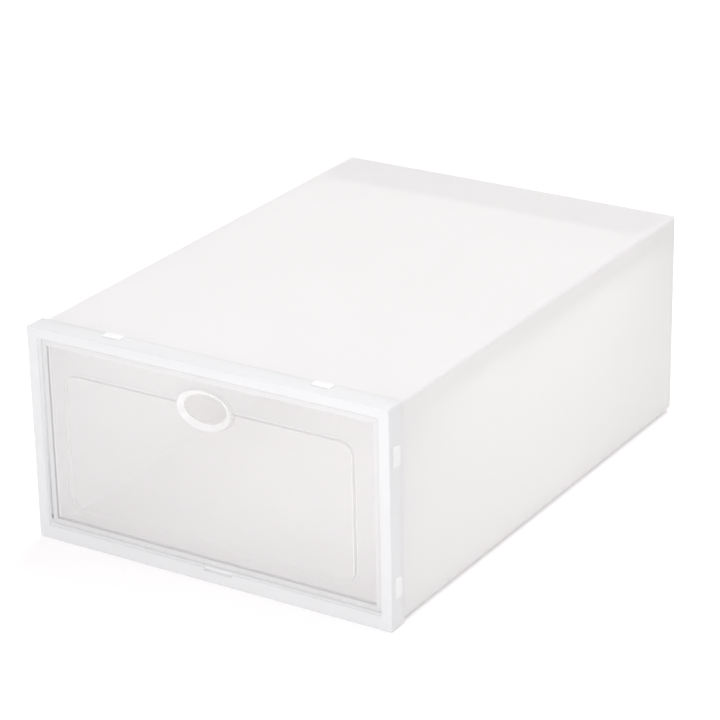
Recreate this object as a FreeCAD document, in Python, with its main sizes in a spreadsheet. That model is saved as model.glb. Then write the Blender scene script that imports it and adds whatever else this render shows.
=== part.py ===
import FreeCAD, Part
import math
import os
import sys
from types import SimpleNamespace

import Sketcher

# Folding shoe box: a sleeve folded from thin frosted sheet, its front edge held in a moulded frame,
# a clear door that drops forward in that frame, and a rear end closed by folded flaps.
# Millimetres. X runs across the front, Y from the front to the back, Z up.
# The origin is on the floor, under the middle of the box.

SIZES = {
    "boxWidth": 235.0,  # over the front frame
    "boxHeight": 130.0,
    "boxDepth": 335.0,
    # front frame
    "frameRound": 2.0,
    "edgeRound": 0.8,
    "openingBevel": 0.6,
    "flangeWall": 1.75,
    "flangeDepth": 13.0,
    "faceThick": 1.8,
    "sideBar": 6.85,
    "topBar": 6.7,
    "sillBar": 8.6,
    "jambWall": 1.4,
    "jambDepth": 8.4,
    "grooveWidth": 0.9,
    "ribWall": 1.2,
    "ribDepth": 10.0,
    "lipWidth": 4.3,
    "lipThick": 1.2,
    "lipFront": 6.6,
    "lipFoot": 17.0,
    "bossRadius": 3.0,
    "notchWidth": 18.4,
    "notchDepth": 1.7,
    "notchSunk": 1.2,
    "notchShift": 5.5,
    # joining lugs on the frame, and the sockets that take a neighbour's
    "lugLength": 12.0,
    "topLugFront": 6.9,
    "topLugRear": 12.4,
    "sideLugFront": 3.8,
    "sideLugRear": 9.2,
    "lugStep": 0.55,
    "lugHeight": 1.15,
    "lugRound": 2.0,
    "lugSpread": 136.0,
    "lugShift": 3.5,
    "lugLow": 25.0,
    "lugHigh": 101.3,
    "socketClear": 0.3,
    "socketDepth": 1.25,
    # barbs of the frame in slots of the sleeve
    "barbLength": 10.0,
    "barbFront": 6.4,
    "barbDepth": 2.4,
    "barbHeight": 0.7,
    "slotClear": 0.5,
    # folded sheet
    "sheetThick": 0.8,
    "creaseRound": 1.2,
    "seamWidth": 15.0,
    "sheetStart": 2.0,
    "flapGap": 0.1,
    # door
    "doorGap": 0.9,
    "doorTopGap": 1.0,
    "doorFootGap": 0.6,
    "doorFront": 2.8,
    "doorWall": 1.4,
    "doorRound": 1.5,
    "rimWidth": 3.4,
    "rimDepth": 3.4,
    "fieldWidth": 190.0,
    "fieldLow": 21.0,
    "fieldHigh": 105.3,
    "fieldRound": 8.7,
    "fieldLift": 2.2,
    "fieldDraft": 28.0,
    "fieldInset": 0.8,
    "holeLevel": 103.4,
    "holeWide": 27.5,
    "holeTall": 16.5,
    "dishSpread": 5.5,
    "collarSpread": 8.5,
    "collarDraft": 2.2,
    "pinRadius": 1.3,
    "pinClear": 0.06,
    "pinLevel": 12.4,
    "pinBack": 4.5,
    "pinEnd": 0.35,
    # rear closure
    "panelClear": 0.4,
    "tuckLength": 40.0,
    "tuckRound": 14.0,
    "tuckClear": 2.4,
    "tuckGap": 0.25,
    "dustLength": 98.0,
    "dustLow": 4.6,
    "dustHigh": 117.5,
    "dustTaper": 9.0,
    "dustRound": 6.0,
}


class Size:
    """A length that keeps its spreadsheet expression beside its value."""

    def __init__(self, text, value):
        self.text, self.value = text, value

    def join(self, sign, other, value, turned=False):
        word = other.text if isinstance(other, Size) else repr(other)
        first, last = (word, self.text) if turned else (self.text, word)
        return Size(f"({first} {sign} {last})", value)

    def __add__(self, other):
        return self.join("+", other, self.value + number(other))

    def __sub__(self, other):
        return self.join("-", other, self.value - number(other))

    def __mul__(self, other):
        return self.join("*", other, self.value * number(other))

    def __truediv__(self, other):
        return self.join("/", other, self.value / number(other))

    def __neg__(self):
        return Size(f"(0 - {self.text})", -self.value)


def number(size):
    return size.value if isinstance(size, Size) else size


def makeSheet(doc):
    sheet = doc.addObject("Spreadsheet::Sheet", "Sizes")
    for row, (alias, value) in enumerate(SIZES.items(), start=1):
        sheet.set(f"A{row}", alias)
        sheet.set(f"B{row}", str(value))
        sheet.setAlias(f"B{row}", alias)
    doc.recompute()
    return sheet


def bind(thing, name, size):
    """Set a property or a named constraint from the spreadsheet."""
    thing.setExpression(name, size.text if isinstance(size, Size) else repr(size))


def addBody(doc, label):
    body = doc.addObject("PartDesign::Body", label)
    body.Label = label
    return body


def addSketch(body, name, role, offset):
    """A sketch on one of the body's origin planes, moved along that plane's normal."""
    plane = [item for item in body.Origin.OriginFeatures if item.Role == role][0]
    sketch = body.newObject("Sketcher::SketchObject", name)
    sketch.AttachmentSupport = [(plane, "")]
    sketch.MapMode = "FlatFace"
    bind(sketch, "AttachmentOffset.Base.z", offset)
    return sketch


def frontSketch(body, name, depth):
    """A sketch seen from the front (X, Z), depth behind the front face."""
    return addSketch(body, name, "XZ_Plane", s.boxDepth / 2 - depth)


def dimension(sketch, kind, geometry, point, size):
    index = sketch.addConstraint(Sketcher.Constraint(kind, -1, 1, geometry, point, number(size)))
    bind(sketch, f"Constraints[{index}]", size)


def addPolygon(sketch, corners):
    """A closed outline of straight lines through the corners, each an (across, up) pair of sizes."""
    points = [FreeCAD.Vector(number(x), number(y), 0) for x, y in corners]
    first = sketch.GeometryCount
    count = len(points)
    for at in range(count):
        sketch.addGeometry(Part.LineSegment(points[at], points[(at + 1) % count]), False)
    for at in range(count):
        nextLine = first + (at + 1) % count
        sketch.addConstraint(Sketcher.Constraint("Coincident", first + at, 2, nextLine, 1))
        dimension(sketch, "DistanceX", first + at, 1, corners[at][0])
        dimension(sketch, "DistanceY", first + at, 1, corners[at][1])


def addBox(sketch, left, right, low, high):
    addPolygon(sketch, [(left, low), (right, low), (right, high), (left, high)])


def addRoundBox(sketch, left, right, low, high, radius):
    """A rectangle with four tangent corner arcs, given by its sides and the corner radius."""
    x0, x1, y0, y1, r = [number(size) for size in (left, right, low, high, radius)]
    first = sketch.GeometryCount
    sides = [
        ((x0 + r, y0), (x1 - r, y0)),
        ((x1, y0 + r), (x1, y1 - r)),
        ((x1 - r, y1), (x0 + r, y1)),
        ((x0, y1 - r), (x0, y0 + r)),
    ]
    for start, end in sides:
        sketch.addGeometry(Part.LineSegment(FreeCAD.Vector(*start, 0), FreeCAD.Vector(*end, 0)), False)
    middles = [(x1 - r, y0 + r), (x1 - r, y1 - r), (x0 + r, y1 - r), (x0 + r, y0 + r)]
    quarter = math.pi / 2
    for turn, middle in enumerate(middles):
        ring = Part.Circle(FreeCAD.Vector(*middle, 0), FreeCAD.Vector(0, 0, 1), r)
        sketch.addGeometry(Part.ArcOfCircle(ring, (turn - 1) * quarter, turn * quarter), False)
    for at in range(4):
        arc, nextSide = first + 4 + at, first + (at + 1) % 4
        sketch.addConstraint(Sketcher.Constraint("Tangent", first + at, 2, arc, 1))
        sketch.addConstraint(Sketcher.Constraint("Tangent", arc, 2, nextSide, 1))
    for at in range(4):
        kind = "Horizontal" if at % 2 == 0 else "Vertical"
        sketch.addConstraint(Sketcher.Constraint(kind, first + at))
    for at in range(1, 4):
        sketch.addConstraint(Sketcher.Constraint("Equal", first + 4, first + 4 + at))
    index = sketch.addConstraint(Sketcher.Constraint("Radius", first + 4, r))
    bind(sketch, f"Constraints[{index}]", radius)
    dimension(sketch, "DistanceY", first, 1, low)
    dimension(sketch, "DistanceX", first + 1, 1, right)
    dimension(sketch, "DistanceY", first + 2, 1, high)
    dimension(sketch, "DistanceX", first + 3, 1, left)


def addCircle(sketch, across, up, radius):
    middle = FreeCAD.Vector(number(across), number(up), 0)
    at = sketch.addGeometry(Part.Circle(middle, FreeCAD.Vector(0, 0, 1), number(radius)), False)
    index = sketch.addConstraint(Sketcher.Constraint("Radius", at, number(radius)))
    bind(sketch, f"Constraints[{index}]", radius)
    dimension(sketch, "DistanceX", at, 3, across)
    dimension(sketch, "DistanceY", at, 3, up)


def addOval(sketch, up, wide, tall):
    """An ellipse on the box's middle line, wide across and tall up."""
    middle = FreeCAD.Vector(0, number(up), 0)
    side = middle + FreeCAD.Vector(number(wide) / 2, 0, 0)
    top = middle + FreeCAD.Vector(0, number(tall) / 2, 0)
    at = sketch.addGeometry(Part.Ellipse(side, top, middle), False)
    sketch.exposeInternalGeometry(at)
    sketch.addConstraint(Sketcher.Constraint("PointOnObject", at, 3, -2))
    dimension(sketch, "DistanceY", at, 3, up)
    sketch.addConstraint(Sketcher.Constraint("Horizontal", at + 1))
    for line, size in ((at + 1, wide), (at + 2, tall)):
        index = sketch.addConstraint(Sketcher.Constraint("Distance", line, number(size)))
        bind(sketch, f"Constraints[{index}]", size)


def addPad(body, sketch, length, backward=True, middle=False, draft=None):
    """Thicken a sketch. A front sketch's normal points forward, so backward turns it to +Y."""
    pad = body.newObject("PartDesign::Pad", sketch.Name + "Pad")
    pad.Profile = sketch
    bind(pad, "Length", length)
    pad.Reversed = backward
    pad.Midplane = middle
    if draft is not None:
        bind(pad, "TaperAngle", draft)
    return pad


def addPocket(body, sketch, length, backward=False, draft=None):
    """Cut a sketch's shape away, and make sure that the cut met the solid."""
    body.Document.recompute()
    before = body.Shape.Volume
    pocket = body.newObject("PartDesign::Pocket", sketch.Name + "Pocket")
    pocket.Profile = sketch
    bind(pocket, "Length", length)
    pocket.Reversed = backward
    if draft is not None:
        bind(pocket, "TaperAngle", draft)
    body.Document.recompute()
    if body.Shape.Volume > before - 0.01:
        sys.exit(f"{pocket.Name} cut nothing")
    return pocket


def softenEdges(body, kind, name, size, wanted):
    """Round or bevel the edges of the body that wanted(edge) picks."""
    body.Document.recompute()
    base = body.Tip
    picked = [f"Edge{at}" for at, edge in enumerate(base.Shape.Edges, start=1) if wanted(edge)]
    if not picked:
        sys.exit(f"{name} found no edge")
    feature = body.newObject(f"PartDesign::{kind}", name)
    feature.Base = (base, picked)
    bind(feature, "Radius" if kind == "Fillet" else "Size", size)
    body.Document.recompute()
    return feature


def near(value, target):
    return abs(value - number(target)) < 0.01


def liesAt(edge, axis, size):
    """True if the whole edge has this coordinate, axis 0, 1 or 2."""
    box = edge.BoundBox
    low = (box.XMin, box.YMin, box.ZMin)[axis]
    high = (box.XMax, box.YMax, box.ZMax)[axis]
    return near(low, size) and near(high, size)


doc = FreeCAD.newDocument("ShoeBox")
sheet = makeSheet(doc)
s = SimpleNamespace(**{alias: Size(f"Sizes.{alias}", float(sheet.get(alias))) for alias in SIZES})

front = -s.boxDepth / 2
back = s.boxDepth / 2
half = s.boxWidth / 2
openHalf = half - s.sideBar
openTop = s.boxHeight - s.topBar
sheetHalf = half - s.flangeWall
sheetLow = s.flangeWall
sheetTop = s.boxHeight - s.flangeWall
innerHalf = sheetHalf - s.sheetThick
innerLow = sheetLow + s.sheetThick
innerTop = sheetTop - s.sheetThick
ribHalf = sheetHalf - s.grooveWidth
ribLow = sheetLow + s.grooveWidth
ribTop = sheetTop - s.grooveWidth
lugPlaces = (s.lugShift + s.lugSpread / 2, s.lugShift - s.lugSpread / 2)
doorHalf = openHalf - s.doorGap
doorLow = s.sillBar + s.doorFootGap
doorTop = openTop - s.doorTopGap


def frameRing(body, name, depth, length, outer, inner):
    """A rectangular tube wall between two outlines, each (half width, low, top, radius)."""
    sketch = frontSketch(body, name, depth)
    for across, low, high, radius in (outer, inner):
        addRoundBox(sketch, -across, across, low, high, radius)
    return addPad(body, sketch, length)


def buildFrame():
    body = addBody(doc, "front_frame")
    outline = (half, Size("0", 0.0), s.boxHeight, s.frameRound)
    groove = (sheetHalf, sheetLow, sheetTop, s.creaseRound)
    rib = (ribHalf, ribLow, ribTop, s.creaseRound)
    ribInside = (ribHalf - s.ribWall, ribLow + s.ribWall, ribTop - s.ribWall, s.creaseRound / 2)
    jambOut = openHalf + s.jambWall
    jamb = (jambOut, s.sillBar - s.jambWall, openTop + s.jambWall, s.frameRound)
    opening = (openHalf, s.sillBar, openTop, s.edgeRound)
    frameRing(body, "Face", Size("0", 0.0), s.faceThick, outline, opening)
    frameRing(body, "Flange", s.faceThick, s.flangeDepth - s.faceThick, outline, groove)
    frameRing(body, "Rib", s.faceThick, s.ribDepth - s.faceThick, rib, ribInside)
    frameRing(body, "Jamb", s.faceThick, s.jambDepth - s.faceThick, jamb, opening)

    lip = frontSketch(body, "StopLip", s.lipFront)  # the door closes against it, at the sides and top
    lipHalf, lipTop = openHalf - s.lipWidth, openTop - s.lipWidth
    addPolygon(lip, [
        (-openHalf, s.lipFoot), (-lipHalf, s.lipFoot), (-lipHalf, lipTop), (lipHalf, lipTop),
        (lipHalf, s.lipFoot), (openHalf, s.lipFoot), (openHalf, openTop), (-openHalf, openTop),
    ])
    addPad(body, lip, s.lipThick)

    for side, sign in (("Left", -1), ("Right", 1)):  # bosses that carry the door's pivot pins
        wall = (ribHalf - s.ribWall / 2) * sign
        boss = addSketch(body, "Boss" + side, "YZ_Plane", wall)
        addCircle(boss, front + s.pinBack, s.pinLevel, s.bossRadius)
        addPad(body, boss, ribHalf - s.ribWall / 2 - openHalf, backward=sign > 0)
        bore = addSketch(body, "PinBore" + side, "YZ_Plane", openHalf * sign)
        addCircle(bore, front + s.pinBack, s.pinLevel, s.pinRadius + s.pinClear)
        addPocket(body, bore, ribHalf - s.ribWall - openHalf, backward=sign > 0)

    for at, place in enumerate(lugPlaces):  # ramped lugs on the top
        lug = addSketch(body, f"TopLug{at}", "YZ_Plane", place)
        ramp = lugRamp(s.topLugFront, s.topLugRear)
        addPolygon(lug, [(front + depth, s.boxHeight + rise) for depth, rise in ramp])
        addPad(body, lug, s.lugLength, backward=False, middle=True)
    for at, level in enumerate((s.lugLow, s.lugHigh)):  # and on the right side
        lug = addSketch(body, f"SideLug{at}", "XY_Plane", level)
        ramp = lugRamp(s.sideLugFront, s.sideLugRear)
        addPolygon(lug, [(half + rise, front + depth) for depth, rise in ramp])
        addPad(body, lug, s.lugLength, backward=False, middle=True)

    socketHalf = s.lugLength / 2 + s.socketClear
    flangeRear = front + s.flangeDepth + s.socketClear
    below = addSketch(body, "LowSocket", "XY_Plane", Size("0", 0.0))  # sockets under the frame
    for place in lugPlaces:
        addBox(below, place - socketHalf, place + socketHalf,
               front + s.topLugFront - s.socketClear, flangeRear)
    addPocket(body, below, s.socketDepth, backward=True)
    beside = addSketch(body, "LeftSocket", "YZ_Plane", -half)  # and in its left side
    for level in (s.lugLow, s.lugHigh):
        addBox(beside, front + s.sideLugFront - s.socketClear, flangeRear,
               level - socketHalf, level + socketHalf)
    addPocket(body, beside, s.socketDepth, backward=True)

    notch = frontSketch(body, "SillNotch", Size("0", 0.0))
    notchHalf = s.notchWidth / 2
    addBox(notch, s.notchShift - notchHalf, s.notchShift + notchHalf,
           s.sillBar - s.notchDepth, s.sillBar + s.notchDepth)
    addPocket(body, notch, s.notchSunk)

    for level, side in ((ribTop, 1), (ribLow, -1)):  # barbs that stand in the sleeve's slots
        for place in lugPlaces:
            barb = addSketch(body, f"Barb{'Low' if side < 0 else 'Top'}{'L' if place.value < 0 else 'R'}",
                             "XY_Plane", level)
            addBox(barb, place - s.barbLength / 2, place + s.barbLength / 2,
                   front + s.barbFront, front + s.barbFront + s.barbDepth)
            addPad(body, barb, s.barbHeight, backward=side < 0)

    softenEdges(body, "Fillet", "LugCorners", s.lugRound, lugCorner)
    softenEdges(body, "Fillet", "FaceEdge", s.edgeRound, frameFaceEdge)
    softenEdges(body, "Chamfer", "OpeningBevel", s.openingBevel, openingEdge)
    return body


def lugRamp(start, end):
    """A lug's outline seen along it, as (depth, height): it rises to the rear."""
    return [(start, Size("0", 0.0)), (end, Size("0", 0.0)), (end, s.lugHeight), (start, s.lugStep)]


def lugCorner(edge):
    """The two rear edges that stand up on each lug."""
    box = edge.BoundBox
    tall = max(box.XLength, box.ZLength)
    rear = liesAt(edge, 1, front + s.topLugRear) or liesAt(edge, 1, front + s.sideLugRear)
    outside = box.ZMin > s.boxHeight.value - 0.01 or box.XMin > half.value - 0.01
    upright = min(box.XLength, box.ZLength) < 0.01
    return rear and outside and upright and near(tall, s.lugHeight)


def frameFaceEdge(edge):
    """The frame's outer edge around its front face."""
    box = edge.BoundBox
    if not liesAt(edge, 1, front):
        return False
    middle = box.Center
    return abs(middle.x) > sheetHalf.value or middle.z < sheetLow.value or middle.z > sheetTop.value


def openingEdge(edge):
    """The front edge of the opening's two sides and top."""
    if not liesAt(edge, 1, front):
        return False
    side = liesAt(edge, 0, openHalf) or liesAt(edge, 0, -openHalf)
    return side or liesAt(edge, 2, openTop)


def buildSleeve():
    body = addBody(doc, "sleeve")
    start, end = s.sheetStart, s.boxDepth - s.sheetThick - s.flapGap
    frameRing(body, "Walls", start, end - start, (sheetHalf, sheetLow, sheetTop, s.creaseRound),
              (innerHalf, innerLow, innerTop, s.creaseRound / 2))
    seam = frontSketch(body, "Seam", s.flangeDepth + s.flapGap)  # glued flap along the bottom right crease
    addBox(seam, innerHalf - s.seamWidth, innerHalf, innerLow, innerLow + s.sheetThick)
    addPad(body, seam, end - s.flangeDepth - s.sheetThick * 4)
    for level, name in ((sheetTop, "SlotTop"), (innerLow, "SlotLow")):
        slots = addSketch(body, name, "XY_Plane", level)
        for place in lugPlaces:
            reach = s.barbLength / 2 + s.slotClear
            addBox(slots, place - reach, place + reach, front + s.barbFront - s.slotClear,
                   front + s.barbFront + s.barbDepth + s.slotClear)
        addPocket(body, slots, s.sheetThick)
    return body


def buildDoor():
    body = addBody(doc, "door")
    plate = frontSketch(body, "Plate", s.doorFront)
    addRoundBox(plate, -doorHalf, doorHalf, doorLow, doorTop, s.doorRound)
    addPad(body, plate, s.doorWall)
    frameRing(body, "Rim", s.doorFront + s.doorWall, s.rimDepth - s.doorWall,
              (doorHalf, doorLow, doorTop, s.doorRound),
              (doorHalf - s.rimWidth, doorLow + s.rimWidth, doorTop - s.rimWidth, s.doorRound / 2))

    field = frontSketch(body, "Field", s.doorFront)  # raised field with drafted sides
    fieldHalf = s.fieldWidth / 2
    addRoundBox(field, -fieldHalf, fieldHalf, s.fieldLow, s.fieldHigh, s.fieldRound)
    addPad(body, field, s.fieldLift, backward=False, draft=-s.fieldDraft)
    hollow = frontSketch(body, "FieldHollow", s.doorFront + s.doorWall)
    hollowHalf = fieldHalf - s.fieldInset
    addRoundBox(hollow, -hollowHalf, hollowHalf, s.fieldLow + s.fieldInset, s.fieldHigh - s.fieldInset,
                s.fieldRound - s.fieldInset)
    addPocket(body, hollow, s.fieldLift, backward=True, draft=-s.fieldDraft)

    rise = s.doorFront - s.fieldLift
    boss = frontSketch(body, "CollarFoot", s.doorFront + s.doorWall)  # collar around the finger hole
    wide, tall = s.holeWide + s.collarSpread, s.holeTall + s.collarSpread - s.collarDraft
    addOval(boss, s.holeLevel, wide + s.collarDraft, tall + s.collarDraft)
    bossTop = frontSketch(body, "CollarTop", rise)
    addOval(bossTop, s.holeLevel, wide, tall)
    collar = body.newObject("PartDesign::AdditiveLoft", "Collar")
    collar.Profile, collar.Sections, collar.Ruled = boss, [bossTop], True

    dish = frontSketch(body, "DishMouth", rise)
    addOval(dish, s.holeLevel, s.holeWide + s.dishSpread, s.holeTall + s.dishSpread)
    dishFloor = frontSketch(body, "DishFloor", s.doorFront)
    addOval(dishFloor, s.holeLevel, s.holeWide, s.holeTall)
    sunk = body.newObject("PartDesign::SubtractiveLoft", "Dish")
    sunk.Profile, sunk.Sections, sunk.Ruled = dish, [dishFloor], True
    hole = frontSketch(body, "FingerHole", s.doorFront)
    addOval(hole, s.holeLevel, s.holeWide, s.holeTall)
    addPocket(body, hole, s.doorWall * 2)

    for side, sign in (("Left", -1), ("Right", 1)):  # pivot pins moulded on the rim
        pin = addSketch(body, "Pin" + side, "YZ_Plane", (doorHalf - s.rimWidth / 2) * sign)
        addCircle(pin, front + s.pinBack, s.pinLevel, s.pinRadius)
        reach = ribHalf - s.ribWall - s.pinEnd - doorHalf + s.rimWidth / 2
        addPad(body, pin, reach, backward=sign < 0)
    return body


def buildFlap(label, backDepth, corners, radius, rounded):
    """A flat piece of sheet seen from the front, its corners rounded where rounded(edge) says."""
    body = addBody(doc, label)
    outline = frontSketch(body, "Outline" + label.title().replace("_", ""), backDepth)
    addPolygon(outline, corners)
    addPad(body, outline, s.sheetThick)
    softenEdges(body, "Fillet", "Corner" + label.title().replace("_", ""), radius, rounded)
    return body


def buildRearPanel():
    across = sheetHalf - s.panelClear / 2
    corners = [(-across, sheetLow), (across, sheetLow), (across, sheetTop), (-across, sheetTop)]
    return buildFlap("rear_panel", s.boxDepth - s.sheetThick, corners, s.sheetThick,
                     lambda edge: edge.BoundBox.YLength > 0.5)


def buildTuckFlap():
    body = addBody(doc, "rear_tuck_flap")
    top = innerTop - s.flapGap
    outline = addSketch(body, "TuckOutline", "XY_Plane", top - s.sheetThick)
    across, rear = innerHalf - s.tuckClear, back - s.sheetThick - s.tuckGap
    addBox(outline, -across, across, rear - s.tuckLength, rear)
    addPad(body, outline, s.sheetThick, backward=False)
    tuckFront = (rear - s.tuckLength).value
    softenEdges(body, "Fillet", "TuckCorners", s.tuckRound,
                lambda edge: edge.BoundBox.ZLength > 0.5 and edge.BoundBox.YMax < tuckFront + 0.01)
    return body


def buildDustFlap(label, sign):
    rootSide = (innerHalf - s.flapGap * 2) * sign
    tip = rootSide - s.dustLength * sign
    corners = [
        (rootSide, s.dustLow), (tip, s.dustLow + s.dustTaper),
        (tip, s.dustHigh - s.dustTaper), (rootSide, s.dustHigh),
    ]
    depth = s.boxDepth - s.sheetThick * 2 - s.flapGap * 3
    return buildFlap(label, depth, corners, s.dustRound,
                     lambda edge: edge.BoundBox.YLength > 0.5 and near(edge.BoundBox.XMin, tip))


buildFrame()
buildSleeve()
buildDoor()
buildRearPanel()
buildTuckFlap()
buildDustFlap("left_dust_flap", -1)
buildDustFlap("right_dust_flap", 1)
doc.recompute()

faults = [item.Name for item in doc.Objects if {"Invalid", "Error"} & set(item.State)]
if faults:
    sys.exit(f"failed features: {faults}")
os.makedirs("parts", exist_ok=True)
for body in [item for item in doc.Objects if item.TypeId == "PartDesign::Body"]:
    shape = body.Shape
    if shape.isNull() or not shape.isValid() or len(shape.Solids) != 1:
        sys.exit(f"{body.Label} has no single valid solid")
    shape.exportStep(f"parts/{body.Label}.step")
    size = shape.BoundBox
    print(f"{body.Label}: {size.XLength:.2f} x {size.YLength:.2f} x {size.ZLength:.2f}, "
          f"{shape.Volume / 1000:.2f} cm3")
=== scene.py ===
import bpy, bmesh, math
from mathutils import Matrix, Vector


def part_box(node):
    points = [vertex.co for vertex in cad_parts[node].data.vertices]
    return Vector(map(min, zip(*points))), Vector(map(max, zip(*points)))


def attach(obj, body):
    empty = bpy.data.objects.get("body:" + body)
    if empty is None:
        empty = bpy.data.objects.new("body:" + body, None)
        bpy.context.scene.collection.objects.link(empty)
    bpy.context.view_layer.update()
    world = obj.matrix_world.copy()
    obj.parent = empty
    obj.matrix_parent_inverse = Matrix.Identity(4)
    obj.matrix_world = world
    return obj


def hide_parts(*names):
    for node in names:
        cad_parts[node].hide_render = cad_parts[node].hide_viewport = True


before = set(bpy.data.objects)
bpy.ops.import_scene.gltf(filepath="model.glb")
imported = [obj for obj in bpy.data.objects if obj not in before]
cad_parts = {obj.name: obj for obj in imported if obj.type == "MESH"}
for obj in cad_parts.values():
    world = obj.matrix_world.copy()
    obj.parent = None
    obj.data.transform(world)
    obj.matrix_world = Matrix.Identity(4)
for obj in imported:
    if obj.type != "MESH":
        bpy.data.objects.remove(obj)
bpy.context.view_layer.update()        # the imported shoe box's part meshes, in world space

# Folding shoe box: frosted sheet sleeve, moulded white front frame, clear drop door, folded rear flaps.
# Metres. X runs across the front, Y from the front to the back, Z up.

mm = 0.001

cameraSet = {
    "place": (0.8206, -1.3008, 0.7210),
    "azimuth": 32.42,      # degrees round the box from its front
    "pitch": -22.89,
    "roll": -1.19,
    "lens": 142.35,        # mm on a 36 mm sensor
}


def makeCamera(c):
    turn, tilt, roll = (math.radians(c[k]) for k in ("azimuth", "pitch", "roll"))
    ahead = Vector((-math.sin(turn) * math.cos(tilt), math.cos(turn) * math.cos(tilt), math.sin(tilt)))
    across = Vector((math.cos(turn), math.sin(turn), 0))
    up = across.cross(ahead)
    right = across * math.cos(roll) + up * math.sin(roll)
    up = up * math.cos(roll) - across * math.sin(roll)
    data = bpy.data.cameras.new("boxCamera")
    data.lens, data.sensor_width = c["lens"], 36
    data.clip_start, data.clip_end = 0.05, 60
    camera = bpy.data.objects.new("boxCamera", data)
    camera.matrix_world = Matrix.Translation(c["place"]) @ Matrix((right, up, -ahead)).transposed().to_4x4()
    bpy.context.scene.collection.objects.link(camera)
    bpy.context.scene.camera = camera


makeCamera(cameraSet)
print("camera placed")


def toLinear(hexColour):
    values = [int(hexColour[i:i + 2], 16) / 255 for i in (1, 3, 5)]
    return [v / 12.92 if v <= 0.04045 else ((v + 0.055) / 1.055) ** 2.4 for v in values] + [1.0]


def addNode(material, kind, settings=None, links=None):
    # settings go to inputs by name or number, or else to the node; links are {input: (node, output)}
    node = material.node_tree.nodes.new(kind)
    for name, value in (settings or {}).items():
        if not isinstance(name, str) or name in node.inputs:
            node.inputs[name].default_value = value
        else:
            setattr(node, name, value)
    for name, (source, output) in (links or {}).items():
        material.node_tree.links.new(source.outputs[output], node.inputs[name])
    return node


def newMaterial(name):
    material = bpy.data.materials.new(name)
    material.use_nodes = True
    material.node_tree.nodes.clear()
    return material


def finishMaterial(material, shader):
    output = addNode(material, "ShaderNodeOutputMaterial")
    material.node_tree.links.new(shader.outputs[0], output.inputs["Surface"])
    return material


def mixColours(material, factor, first, second):
    # factor is a (node, output) pair
    mix = addNode(material, "ShaderNodeMix", {"data_type": "RGBA"}, {"Factor": factor})
    mix.inputs[6].default_value, mix.inputs[7].default_value = toLinear(first), toLinear(second)
    return mix


mouldedSet = {
    "colour": "#EAEAEB",
    "shade": "#E7E7E9",
    "thick": "#F5F5F6",    # painted lighter tone on the joining lugs, a painted highlight for the light their thick raised walls catch; also the colour of the painted glow round the door
    "cloud": 18.0,         # cloudiness of the pigment, patches per metre
    "roughness": 0.38,
    "ior": 1.49,
    "through": 0.06,       # share of light scattered through the wall
    "grain": 0.35,         # mm, spark-eroded mould texture
    "grainDepth": 0.05,    # mm
    "lugFrom": (117.62, 130.12),   # mm, across and up, where the lugs begin
    "lugBlend": 0.12,      # mm
    "channel": (("X", 0, 112), ("Y", -159.75, 6.75), ("Z", 66.35, 58.15)),   # mm, middle and reach
    "channelPaintedGlow": 0.20,   # painted glow on the walls of the narrow channel round the door, standing in for the light that the milky walls bring into it
}


def mouldedWhitePolypropylene(c):
    # white pigment in polypropylene, moulded against an eroded steel face:
    # satin and milky; the thick joining lugs are painted lighter, a painted highlight, and the walls round
    # the door carry a painted glow
    m = newMaterial("mouldedWhitePolypropylene")
    place = addNode(m, "ShaderNodeTexCoord")
    cloud = addNode(m, "ShaderNodeTexNoise", {"Scale": c["cloud"], "Detail": 3.0},
                    {"Vector": (place, "Object")})
    tone = mixColours(m, (cloud, 0), c["colour"], c["shade"])
    axes = addNode(m, "ShaderNodeSeparateXYZ", links={0: (place, "Object")})
    lugs = [addNode(m, "ShaderNodeMapRange",
                    {"From Min": start * mm, "From Max": (start + c["lugBlend"]) * mm},
                    {"Value": (axes, axis)}) for axis, start in zip("XZ", c["lugFrom"])]
    lug = addNode(m, "ShaderNodeMath", {"operation": "MAXIMUM"}, {0: (lugs[0], 0), 1: (lugs[1], 0)})
    # the joining lugs painted in the lighter tone: a painted highlight
    whole = addNode(m, "ShaderNodeMix", {"data_type": "RGBA"}, {"Factor": (lug, 0), 6: (tone, 2)})
    whole.inputs[7].default_value = toLinear(c["thick"])
    grain = addNode(m, "ShaderNodeTexNoise", {"Scale": 1 / (c["grain"] * mm), "Detail": 2.0},
                    {"Vector": (place, "Object")})
    bump = addNode(m, "ShaderNodeBump", {"Strength": 0.06, "Distance": c["grainDepth"] * mm},
                   {"Height": (grain, 0)})
    rough = addNode(m, "ShaderNodeMapRange",
                    {"From Min": 0.3, "From Max": 0.7,
                     "To Min": c["roughness"] - 0.05, "To Max": c["roughness"] + 0.06}, {"Value": (cloud, 0)})
    channel = channelMask(m, axes, c["channel"])
    # painted glow on the channel walls, in the lug tone
    light = addNode(m, "ShaderNodeMath", {"operation": "MULTIPLY", 1: c["channelPaintedGlow"]}, {0: (channel, 0)})
    face = addNode(m, "ShaderNodeBsdfPrincipled", {"IOR": c["ior"], "Emission Color": toLinear(c["thick"])},
                   {"Base Color": (whole, 2), "Roughness": (rough, 0), "Normal": (bump, 0),
                    "Emission Strength": (light, 0)})
    glow = addNode(m, "ShaderNodeBsdfTranslucent", links={"Color": (whole, 2)})
    shader = addNode(m, "ShaderNodeMixShader", {0: c["through"]}, {1: (face, 0), 2: (glow, 0)})
    return finishMaterial(m, shader)


def channelMask(material, axes, zones):
    # 1 on the walls that stand round the door, behind their front edge, and 0 elsewhere: where the painted
    # glow goes
    mask = None
    for axis, middle, reach in zones:
        zone = addNode(material, "ShaderNodeMath", {"operation": "COMPARE", 1: middle * mm, 2: reach * mm},
                       {0: (axes, axis)})
        if mask:
            zone = addNode(material, "ShaderNodeMath", {"operation": "MULTIPLY"},
                           {0: (mask, 0), 1: (zone, 0)})
        mask = zone
    return mask


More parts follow.
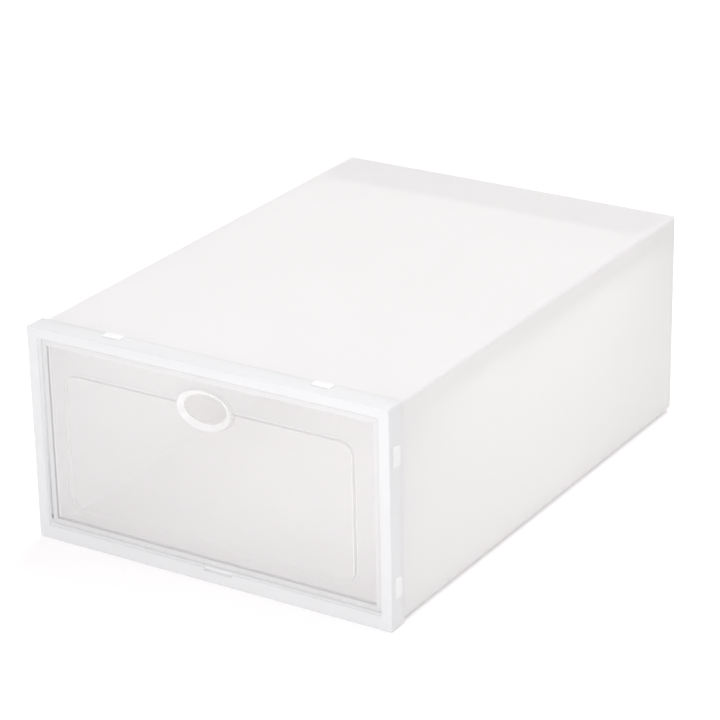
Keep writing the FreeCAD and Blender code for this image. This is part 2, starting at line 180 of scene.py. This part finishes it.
frostedSet = {
    "colour": "#FCFBFB",
    "shade": "#F9F8F8",
    "cloud": 9.0,          # patches per metre
    "roughness": 0.5,
    "ior": 1.49,
    "through": 0.50,       # share of light scattered through the sheet
    "clear": 0.06,         # share that passes straight
    "grain": 0.6,          # mm, embossed matt face, drawn coarser than the real 0.2 mm to show
    "grainDepth": 0.05,    # mm
}


def frostedPolypropyleneSheet(c):
    # extruded sheet with both faces embossed matt: shapes behind it show only as soft shadows
    m = newMaterial("frostedPolypropyleneSheet")
    place = addNode(m, "ShaderNodeTexCoord")
    cloud = addNode(m, "ShaderNodeTexNoise", {"Scale": c["cloud"], "Detail": 2.0},
                    {"Vector": (place, "Object")})
    tone = mixColours(m, (cloud, 0), c["colour"], c["shade"])
    grain = addNode(m, "ShaderNodeTexNoise", {"Scale": 1 / (c["grain"] * mm), "Detail": 2.0},
                    {"Vector": (place, "Object")})
    bump = addNode(m, "ShaderNodeBump", {"Strength": 0.08, "Distance": c["grainDepth"] * mm},
                   {"Height": (grain, 0)})
    face = addNode(m, "ShaderNodeBsdfPrincipled", {"IOR": c["ior"], "Roughness": c["roughness"]},
                   {"Base Color": (tone, 2), "Normal": (bump, 0)})
    glow = addNode(m, "ShaderNodeBsdfTranslucent", links={"Color": (tone, 2)})
    body = addNode(m, "ShaderNodeMixShader", {0: c["through"]}, {1: (face, 0), 2: (glow, 0)})
    clear = addNode(m, "ShaderNodeBsdfTransparent")
    shader = addNode(m, "ShaderNodeMixShader", {0: c["clear"]}, {1: (body, 0), 2: (clear, 0)})
    return finishMaterial(m, shader)


clearSet = {
    "stops": ((0.0, "#E7E5E6"), (0.5, "#FFFFFF"), (0.86, "#E4E3E4")),   # milk and painted light: flat walls, turns painted white as a painted highlight, rim partly its haze and partly painted light
    # colour of the painted glow on the rim's inner walls
    "rimPaintedGlowColour": "#E4E3E4",
    "cloud": 25.0,         # patches per metre
    "roughness": 0.12,
    "ior": 1.49,
    "rimPaintedGlow": 0.42,     # painted glow on the rim's inner walls, for the light that leaves them
    "haze": 0.27,          # how solid the wall looks face on
    "slant": 0.36,         # and seen along its surface
}


def clearMouldedPolypropylene(c):
    # injection moulded against a polished mould:
    # see-through with a slight milky haze; its turned faces painted white as a painted highlight, its rim
    # partly hazy and partly painted light, and a painted glow on the rim's inner walls
    m = newMaterial("clearMouldedPolypropylene")
    place = addNode(m, "ShaderNodeTexCoord")
    cloud = addNode(m, "ShaderNodeTexNoise", {"Scale": c["cloud"], "Detail": 3.0},
                    {"Vector": (place, "Object")})
    rough = addNode(m, "ShaderNodeMapRange",
                    {"To Min": c["roughness"] - 0.03, "To Max": c["roughness"] + 0.08}, {"Value": (cloud, 0)})
    milkAndLight = addNode(m, "ShaderNodeAttribute", {"attribute_name": "edge"})   # set by markTurns
    slant = addNode(m, "ShaderNodeLayerWeight", {"Blend": 0.35})
    solid = addNode(m, "ShaderNodeMapRange", {"To Min": c["haze"], "To Max": c["slant"]},
                    {"Value": (slant, "Facing")})
    whole = addNode(m, "ShaderNodeMath", {"operation": "MAXIMUM"}, {0: (solid, 0), 1: (milkAndLight, "Fac")})
    # white painted highlight on the turned faces; the rim's tone is partly painted light
    tone = addNode(m, "ShaderNodeValToRGB", links={"Fac": (milkAndLight, "Fac")})
    stops = tone.color_ramp.elements
    stops.new(0.5)
    for stop, (at, colour) in zip(stops, c["stops"]):
        stop.position, stop.color = at, toLinear(colour)
    # painted glow on the rim's inner walls
    light = addNode(m, "ShaderNodeMapRange", {"From Min": 0.9, "To Max": c["rimPaintedGlow"]},
                    {"Value": (milkAndLight, "Fac")})
    shader = addNode(m, "ShaderNodeBsdfPrincipled",
                     {"IOR": c["ior"], "Emission Color": toLinear(c["rimPaintedGlowColour"])},
                     {"Base Color": (tone, 0), "Roughness": (rough, 0), "Alpha": (whole, 0),
                      "Emission Strength": (light, 0)})
    return finishMaterial(m, shader)


moulded = mouldedWhitePolypropylene(mouldedSet)
frosted = frostedPolypropyleneSheet(frostedSet)
clear = clearMouldedPolypropylene(clearSet)
print("materials made")

low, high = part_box("front_frame")
frontPlane = low.y / mm      # mm, the face of the front frame


def linkPiece(name, data):
    piece = bpy.data.objects.new(name, data)
    bpy.context.scene.collection.objects.link(piece)
    return piece


def turnCorner(before, here, after, radius, steps):
    # points of a round corner at here, on the way from before to after
    point = Vector(here)
    back, ahead = (Vector(before) - point).normalized(), (Vector(after) - point).normalized()
    half = back.angle(ahead) / 2
    if radius <= 0 or half > 1.56:      # a sharp corner, or none
        return [(point.x, point.y)]
    middle = point + (back + ahead).normalized() * radius / math.sin(half)
    start = point + back * radius / math.tan(half) - middle
    end = point + ahead * radius / math.tan(half) - middle
    spokes = [start.normalized().slerp(end.normalized(), step / steps) * radius for step in range(steps + 1)]
    return [(middle.x + spoke.x, middle.y + spoke.y) for spoke in spokes]


def roundPath(corners, steps=4):
    # (across, depth, radius) corners of an open path to (across, depth) points
    points = [corners[0][:2]]
    for before, here, after in zip(corners, corners[1:], corners[2:]):
        points += turnCorner(before[:2], here[:2], after[:2], here[2], steps)
    return points + [corners[-1][:2]]


def roundCorners(corners, steps=8):
    # (a, b, radius) corners of a closed outline to points
    points = []
    for at, here in enumerate(corners):
        after = corners[(at + 1) % len(corners)]
        points += turnCorner(corners[at - 1][:2], here[:2], after[:2], here[2], steps)
    return points


def boxLoop(half, low, high, radius, depth, arcSteps=8):
    # a rounded rectangle seen from the front, depth behind the front plane, in mm
    radius = max(radius, 0.05)
    points = []
    centres = [(half - radius, low + radius), (half - radius, high - radius),
               (radius - half, high - radius), (radius - half, low + radius)]
    for turn, (x, z) in enumerate(centres):
        for step in range(arcSteps + 1):
            angle = (turn - 1 + step / arcSteps) * math.pi / 2
            points.append((x + radius * math.cos(angle), frontPlane + depth, z + radius * math.sin(angle)))
    return points


def ovalLoop(wide, tall, level, depth, steps=72):
    turns = [step / steps * 2 * math.pi for step in range(steps)]
    return [(wide / 2 * math.cos(t), frontPlane + depth, level + tall / 2 * math.sin(t)) for t in turns]


def meshPiece(name, mesh):
    data = bpy.data.meshes.new(name)
    mesh.to_mesh(data)
    mesh.free()
    return linkPiece(name, data)


def loft(name, loops, capped=True):
    # a closed skin over loops of equal length, in mm
    mesh = bmesh.new()
    rings = [[mesh.verts.new(Vector(point) * mm) for point in loop] for loop in loops]
    count = len(loops[0])
    pairs = list(zip(rings, rings[1:])) + ([] if capped else [(rings[-1], rings[0])])
    for first, second in pairs:
        for at in range(count):
            after = (at + 1) % count
            mesh.faces.new((first[at], first[after], second[after], second[at]))
    if capped:
        mesh.faces.new(rings[0])
        mesh.faces.new(rings[-1][::-1])
    bmesh.ops.recalc_face_normals(mesh, faces=mesh.faces)
    for face in mesh.faces:
        face.smooth = True
    return meshPiece(name, mesh)


def slab(name, across, depth, up, bevel):
    # a flat block with softened edges, in mm
    mesh = bmesh.new()
    for x in across:
        for y in depth:
            for z in up:
                mesh.verts.new(Vector((x, frontPlane + y, z)) * mm)
    bmesh.ops.convex_hull(mesh, input=mesh.verts)
    bmesh.ops.dissolve_limit(mesh, angle_limit=0.02, verts=mesh.verts, edges=mesh.edges)
    bmesh.ops.bevel(mesh, geom=mesh.edges[:], offset=bevel * mm, segments=2, profile=0.5, affect="EDGES")
    bmesh.ops.recalc_face_normals(mesh, faces=mesh.faces)
    return meshPiece(name, mesh)


def joinPieces(parts):
    # one mesh from several, kept in the first
    mesh = bmesh.new()
    for part in parts:
        mesh.from_mesh(part.data)
    mesh.to_mesh(parts[0].data)
    mesh.free()
    for part in parts[1:]:
        bpy.data.objects.remove(part)
    return parts[0]


def bake(piece):
    # keep what the modifiers make, as the piece's own mesh
    bpy.context.view_layer.update()
    made = bpy.data.meshes.new_from_object(piece.evaluated_get(bpy.context.evaluated_depsgraph_get()))
    piece.modifiers.clear()
    old, piece.data = piece.data, made
    made.name = piece.name
    bpy.data.meshes.remove(old)


def combine(piece, tools, operation):
    for tool in tools:
        cut = piece.modifiers.new("cut", "BOOLEAN")
        cut.operation, cut.solver, cut.object = operation, "EXACT", tool
    bake(piece)
    for tool in tools:
        bpy.data.objects.remove(tool)


def evenShading(piece):
    # large flat faces keep straight normals beside round edges
    for face in piece.data.polygons:
        face.use_smooth = True
    weighted = piece.modifiers.new("shading", "WEIGHTED_NORMAL")
    weighted.mode, weighted.weight, weighted.keep_sharp = "FACE_AREA", 50, True


def softenEdges(piece, width, segments=2, angle=25):
    for face in piece.data.polygons:
        face.use_smooth = True
    weld = piece.modifiers.new("weld", "WELD")
    weld.merge_threshold = 0.002 * mm
    bevel = piece.modifiers.new("edges", "BEVEL")
    bevel.limit_method, bevel.angle_limit = "ANGLE", math.radians(angle)
    bevel.width, bevel.segments = width * mm, segments
    bevel.harden_normals = True


def dress(piece, material):
    piece.data.materials.clear()
    piece.data.materials.append(material)


doorSet = {  # mm; depths are behind the frame's face
    "half": 109.75, "low": 9.2, "high": 122.3, "round": 1.5,
    "front": 2.8, "back": 4.2, "rim": 3.4, "rimBack": 6.2,
    "fieldHalf": 95.0, "fieldLow": 21.0, "fieldHigh": 105.3, "fieldRound": 8.7,
    "lift": 2.2, "slope": 1.17, "inset": 0.8,
    "hole": (27.5, 16.5), "level": 103.4, "collar": (36.0, 22.8),
    "collarShoulder": 1.1,       # how far the collar spreads behind the plate
    "rimMilkAndLight": 0.86, "turnMilkAndHighlight": 0.5,   # how milky the thick rim and the turned faces look, 0 to 1; the turns' value gives them a white painted highlight, the rim's value a tone that is partly painted light
    "pin": 1.3, "pinLevel": 12.4, "pinBack": 4.5, "pinEnd": 113.3,
    "mouth": [(5.5, 0.30), (4.0, 0.46), (3.3, 0.66), (2.7, 1.05), (0.55, 2.42), (0.18, 2.72),
              (0, 3.05), (0, 3.7), (0.1, 3.95), (0.35, 4.14), (0.9, 4.28), (2.0, 4.45)],   # spread, depth
}


def doorPlate(d):
    # one skin: raised field, plate and rim in front, then the rim's back and the field's hollow
    lift, slope, front, back = d["lift"], d["slope"], d["front"], d["back"]
    field = roundPath([(9, front - lift, 0), (slope, front - lift, 0.45), (0, front, 0.4), (-3, front, 0)])
    hollow = roundPath([(-3, back, 0), (d["inset"], back, 0.4), (d["inset"] + slope, back - lift, 0.45),
                        (10, back - lift, 0)])
    rim = roundPath([(8, front, 0), (d["rim"], front, 0), (0, front, 0.5), (0, d["rimBack"], 0.4),
                     (d["rim"], d["rimBack"], 0.4), (d["rim"], back, 0.3), (8, back, 0)])
    fieldSize = (d["fieldHalf"], d["fieldLow"], d["fieldHigh"], d["fieldRound"])
    doorSize = (d["half"], d["low"], d["high"], d["round"])
    loops = []
    for path, (half, low, high, radius) in ((field, fieldSize), (rim, doorSize), (hollow, fieldSize)):
        for across, depth in path:
            loops.append(boxLoop(half - across, low + across, high - across, radius - across, depth))
    return loft("clear_door", loops)


def pivotPin(d, side):
    # a round pin with a softened end
    turns = [step / 24 * 2 * math.pi for step in range(24)]
    rings = []
    for reach, radius in ((d["half"] - 1.2, d["pin"]), (d["pinEnd"] - 0.4, d["pin"]),
                          (d["pinEnd"] - 0.12, d["pin"] - 0.14), (d["pinEnd"], d["pin"] - 0.42)):
        rings.append([(side * reach, frontPlane + d["pinBack"] + radius * math.cos(a),
                       d["pinLevel"] + radius * math.sin(a)) for a in turns])
    return loft("pin", rings)


def makeDoor(d):
    door = doorPlate(d)
    rise, behind = d["front"] - d["lift"], d["back"] + 0.02   # just behind the plate, so that the two join
    shoulder = roundPath([(-6, rise, 0), (0, rise, 0.45), (d["collarShoulder"], behind, 0.3),
                          (-6, behind, 0)])
    (wide, tall), level = d["collar"], d["level"]
    collar = loft("collar", [ovalLoop(wide + 2 * a, tall + 2 * a, level, depth) for a, depth in shoulder])
    combine(door, [collar, pivotPin(d, -1), pivotPin(d, 1)], "UNION")
    wide, tall = d["hole"]
    mouth = [ovalLoop(wide + 2 * a, tall + 2 * a, level, depth) for a, depth in d["mouth"]]
    combine(door, [loft("fingerHole", mouth)], "DIFFERENCE")
    markTurns(door, d)
    dress(door, clear)
    evenShading(door)
    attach(door, "door")
    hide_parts("door")


def markTurns(door, d):
    # how milky each face looks, with painted light: the rim's inner walls wholly, with a painted glow,
    # the thick rim most, partly painted light, faces that turn some, painted white as a painted highlight,
    # and flat walls not at all
    mark = door.data.attributes.new("edge", "FLOAT", "FACE")
    for face in door.data.polygons:
        lean = abs(face.normal.y)
        x, z = abs(face.center.x) / mm, face.center.z / mm
        inRim = x > d["half"] - d["rim"] - 0.1 or not d["low"] + d["rim"] < z < d["high"] - d["rim"]
        outside = x > d["half"] - 1 or not d["low"] + 1 < z < d["high"] - 1
        milkAndLight = d["turnMilkAndHighlight"] if 0.55 < lean < 0.985 else 0.0
        if inRim:
            milkAndLight = d["rimMilkAndLight"] if lean > 0.55 or outside else 1.0
        mark.data[face.index].value = milkAndLight


sleeveSet = {  # mm
    "half": 115.75, "low": 1.75, "high": 128.25, "thick": 0.8, "crease": 1.2,
    "start": 2.0, "end": 334.1,
    "scoreDepth": 0.13,          # a pressed line beside each fold
    "scoreShape": [(0.25, 0), (0.7, 0.15), (1.2, 0.75), (1.6, 1.0), (2.0, 0.75), (2.5, 0.15), (3.1, 0)],
    "bows": (0.3, 0.45, 0.3, 0.15),   # how far the right, top, left and bottom walls swell
    "slots": (-64.5, 71.5),      # where the frame's barbs stand
    "slotHalf": 5.5, "slotDepth": (5.9, 9.3),
    "seam": ((99.95, 114.9), (13.4, 331.8), (2.57, 3.35)),   # glued flap: across, depth, up
    "welds": (2, 21),            # rows, and in each row the marks of the hot tips that join it
    "weldFrom": (4.2, 9), "weldStep": (6.6, 15), "weldShift": 7.5,   # across, depth; the second row's shift
}


def wallLoop(d, shrink, depth):
    # the sleeve's outline at one depth, with its pressed fold lines and slightly bowed walls
    half, low, high = d["half"] - shrink, d["low"] + shrink, d["high"] - shrink
    radius = max(d["crease"] - shrink, 0.35)
    along = (depth - d["start"]) / (d["end"] - d["start"])
    growth = min(1.0, max(0.0, along - 0.06) / 0.3)     # flat at the frame, fullest behind it
    swell = growth ** 2 * (3 - 2 * growth) * (1 - 0.45 * along ** 3)
    inward = d["scoreDepth"] * (1 if shrink == 0 else -0.6)
    beside, edge = d["scoreShape"], d["scoreShape"][-1][0]
    spread = [0.04, 0.1, 0.18, 0.28, 0.39, 0.5, 0.61, 0.72, 0.82, 0.9, 0.96]
    corners = [(half - radius, low + radius, -0.5), (half - radius, high - radius, 0.0),
               (radius - half, high - radius, 0.5), (radius - half, low + radius, 1.0)]
    points = []
    for at, (x, z, turn) in enumerate(corners):
        for step in range(5):
            angle = (turn + step / 8) * math.pi
            points.append((x + radius * math.cos(angle), frontPlane + depth, z + radius * math.sin(angle)))
        angle = (turn + 0.5) * math.pi
        outward = Vector((math.cos(angle), 0, math.sin(angle)))
        nextX, nextZ, _ = corners[(at + 1) % 4]
        begin = Vector((x, frontPlane + depth, z)) + outward * radius
        run = Vector((nextX, frontPlane + depth, nextZ)) + outward * radius - begin
        length = run.length
        marks = [(s, -h * inward) for s, h in beside]
        marks += [(edge + (length - 2 * edge) * u, 0.0) for u in spread]
        marks += [(length - s, -h * inward) for s, h in reversed(beside)]
        for s, offset in marks:
            share = s / length
            bow = d["bows"][at] * swell * (1 - (2 * share - 1) ** 2)
            points.append(tuple(begin + run * share + outward * (offset + bow)))
    return points


def dimple(x, y, z):
    # the round mark that a hot weld tip leaves
    profile = [(0.9, 0.35), (1.0, 0.10), (1.0, -0.16), (0.75, -0.26), (0.25, -0.3)]
    rings = [[(x + r * math.cos(a / 8 * math.pi), frontPlane + y + r * math.sin(a / 8 * math.pi), z + rise)
              for a in range(16)] for r, rise in profile]
    return loft("dimple", rings)


def makeSleeve(d):
    ends = [(0.0, 0.12), (0.12, 0.0)]      # depth and inset of the softened cut edges
    outer = [(d["start"] + a, b) for a, b in ends]
    outer += [(d["start"] + 11 + step * 12.6, 0.0) for step in range(26)]
    outer += [(d["end"] - a, b) for a, b in reversed(ends)]
    inner = [(depth, d["thick"] - pull) for depth, pull in reversed(outer)]
    loops = [wallLoop(d, shrink, depth) for depth, shrink in outer + inner]
    sleeve = loft("frosted_sleeve", loops, capped=False)
    slots = []
    for z in (d["low"] + d["thick"] / 2, d["high"] - d["thick"] / 2):
        for x in d["slots"]:
            slots.append(slab("slot", (x - d["slotHalf"], x + d["slotHalf"]), d["slotDepth"],
                              (z - 1.2, z + 1.2), 0.2))
    combine(sleeve, slots, "DIFFERENCE")
    across, depths, up = d["seam"]
    seam = slab("seam", across, depths, up, 0.12)
    rows, count = d["welds"]
    (fromX, fromY), (stepX, stepY), shift = d["weldFrom"], d["weldStep"], d["weldShift"]
    welds = [(across[0] + fromX + row * stepX, depths[0] + fromY + step * stepY + row * shift)
             for row in range(rows) for step in range(count)]
    combine(seam, [joinPieces([dimple(x, y, up[1]) for x, y in welds])], "DIFFERENCE")
    joinPieces([sleeve, seam])
    dress(sleeve, frosted)
    evenShading(sleeve)
    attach(sleeve, "box")
    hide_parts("sleeve")


flapSet = {  # mm; corners are (across, up or depth, radius), score lines run between two points
    "thick": 0.8, "bevel": 0.12,
    "scoreWidth": 0.7, "scoreDepth": 0.22,
    "rearPanel": {
        "corners": [(-115.55, 1.75, 0.8), (115.55, 1.75, 0.8), (115.55, 128.25, 0.8), (-115.55, 128.25, 0.8)],
        "level": 334.2, "scores": [((-116, 3.9), (116, 3.9)), ((-116, 126.1), (116, 126.1))],
    },
    "tuckFlap": {
        "corners": [(-112.55, 293.95, 14), (112.55, 293.95, 14), (112.55, 333.95, 0.4),
                    (-112.55, 333.95, 0.4)],
        "level": 126.55, "scores": [((-114, 331.9), (114, 331.9))],
    },
    "dustFlap": {   # the right one; the left is its mirror
        "corners": [(114.75, 4.6, 0.4), (16.75, 13.6, 6), (16.75, 108.5, 6), (114.75, 117.5, 0.4)],
        "level": 333.1, "scores": [((112.8, 2), (112.8, 120))],
    },
}


def makeFlap(name, node, body, shape, upright, side=1):
    # a cut sheet that stands at a depth, or lies at a height, with V grooves pressed in its near face
    thick, bevel, level = flapSet["thick"], flapSet["bevel"], shape["level"]
    width, deep = flapSet["scoreWidth"], flapSet["scoreDepth"]
    outline = roundCorners([(side * a, b, radius) for a, b, radius in shape["corners"]])
    middle = sum((Vector(p) for p in outline), Vector((0, 0))) / len(outline)

    def stand(a, b, rise):
        return (a, frontPlane + rise, b) if upright else (a, frontPlane + b, rise)

    loops = []
    for inset, rise in ((bevel, 0), (0, bevel), (0, thick - bevel), (bevel, thick)):
        ring = [Vector(point) - (Vector(point) - middle).normalized() * inset for point in outline]
        loops.append([stand(a, b, level + rise) for a, b in ring])
    flap = loft(name, loops)
    grooves = []
    for (startA, startB), (endA, endB) in shape["scores"]:
        start, end = Vector((side * startA, startB)), Vector((side * endA, endB))
        run = (end - start).normalized()
        beside = Vector((-run.y, run.x)) * width / 2 * 1.6      # the V goes on widening above the face
        grooves.append(loft("score", [
            [stand(a + beside.x, b + beside.y, level - deep * 0.6), stand(a, b, level + deep),
             stand(a - beside.x, b - beside.y, level - deep * 0.6)] for a, b in (start, end)]))
    combine(flap, grooves, "DIFFERENCE")
    dress(flap, frosted)
    evenShading(flap)
    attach(flap, body)
    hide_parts(node)


makeDoor(doorSet)
print("door made")
makeSleeve(sleeveSet)
print("sleeve made")
makeFlap("rear_panel_sheet", "rear_panel", "rear_panel", flapSet["rearPanel"], True)
makeFlap("tuck_flap_sheet", "rear_tuck_flap", "rear_tuck_flap", flapSet["tuckFlap"], False)
makeFlap("left_dust_flap_sheet", "left_dust_flap", "left_dust_flap", flapSet["dustFlap"], True, -1)
makeFlap("right_dust_flap_sheet", "right_dust_flap", "right_dust_flap", flapSet["dustFlap"], True)
print("flaps made")

frameSet = {"edgeRound": 0.2}   # mm

dress(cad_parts["front_frame"], moulded)
softenEdges(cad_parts["front_frame"], frameSet["edgeRound"])
print("frame dressed")

studioSet = {
    "floorColour": "#DBDBDB",
    "floorReach": 15,              # metres each way
    "floorGlow": 0.39,
    "floorTint": "#FFFBFC",
    "footprint": (115.7, 165.0),   # mm; under the box the table's glow is painted dimmer, a painted shadow
    "footprintBlend": 3,           # mm
    # share of the glow left under the box: a painted shadow
    "underBoxPaintedShadow": 0.72,
    "world": "#FFFFFF",
    "worldStrength": 0.635,
    "aim": (0, 0, 0.06),
    "lamps": [  # place, power in watts, size in metres
        ("overheadSoftbox", (0.2, 1.15, 2.1), 31.5, 1.6),
        ("frontSoftbox", (-1.2, -2.0, 1.2), 5.5, 1.4),
        ("cornerSoftbox", (0.19, -0.63, 0.36), 0.92, 0.3),
    ],
    "fill": {"place": (0.0, 0.02, 0.118), "size": (0.21, 0.26), "power": 0.105},   # inside, under the top
}


def paleStudioFloor(c):
    # a matt white sheet lit from below, as on a light table: it shows no edge and hardly a shadow, and under
    # the box its glow is painted dimmer as a painted shadow
    m = newMaterial("paleStudioFloor")
    face = addNode(m, "ShaderNodeBsdfDiffuse", {"Color": toLinear(c["floorColour"])})
    place = addNode(m, "ShaderNodeTexCoord")
    axes = addNode(m, "ShaderNodeSeparateXYZ", links={0: (place, "Object")})
    # the glow is painted dimmer inside the box's footprint: a painted shadow under the box
    sides = []
    for axis, reach in zip("XY", c["footprint"]):
        size = addNode(m, "ShaderNodeMath", {"operation": "ABSOLUTE"}, {0: (axes, axis)})
        sides.append(addNode(m, "ShaderNodeMapRange",
                             {"From Min": reach * mm, "From Max": (reach + c["footprintBlend"]) * mm,
                              "To Min": c["underBoxPaintedShadow"]}, {"Value": (size, 0)}))
    lit = addNode(m, "ShaderNodeMath", {"operation": "MAXIMUM"}, {0: (sides[0], 0), 1: (sides[1], 0)})
    power = addNode(m, "ShaderNodeMath", {"operation": "MULTIPLY", 1: c["floorGlow"]}, {0: (lit, 0)})
    glow = addNode(m, "ShaderNodeEmission", {"Color": toLinear(c["floorTint"])}, {"Strength": (power, 0)})
    return finishMaterial(m, addNode(m, "ShaderNodeAddShader", links={0: (face, 0), 1: (glow, 0)}))


def makeStudio(c):
    mesh = bmesh.new()
    reach = c["floorReach"]
    for x, y in ((-reach, -reach), (reach, -reach), (reach, reach), (-reach, reach)):
        mesh.verts.new((x, y, 0))
    mesh.faces.new(mesh.verts)
    piece = meshPiece("floor", mesh)
    dress(piece, paleStudioFloor(c))

    world = bpy.data.worlds.new("studioWorld")
    world.use_nodes = True
    back = world.node_tree.nodes["Background"]
    back.inputs["Color"].default_value = toLinear(c["world"])
    back.inputs["Strength"].default_value = c["worldStrength"]
    bpy.context.scene.world = world
    for name, spot, power, size in c["lamps"]:
        lamp = bpy.data.lights.new(name, "AREA")
        lamp.energy, lamp.size = power, size
        light = linkPiece(name, lamp)
        light.location = spot
        light.rotation_euler = (Vector(c["aim"]) - Vector(spot)).to_track_quat("-Z", "Y").to_euler()


def makeFill(c):
    lamp = bpy.data.lights.new("insideFill", "AREA")
    lamp.shape, lamp.energy = "RECTANGLE", c["fill"]["power"]
    lamp.size, lamp.size_y = c["fill"]["size"]
    light = linkPiece("insideFill", lamp)
    light.location = c["fill"]["place"]
    light.visible_camera = False


makeStudio(studioSet)
makeFill(studioSet)
bpy.context.scene.view_settings.view_transform = "Standard"
print("studio made")

bpy.context.view_layer.update()
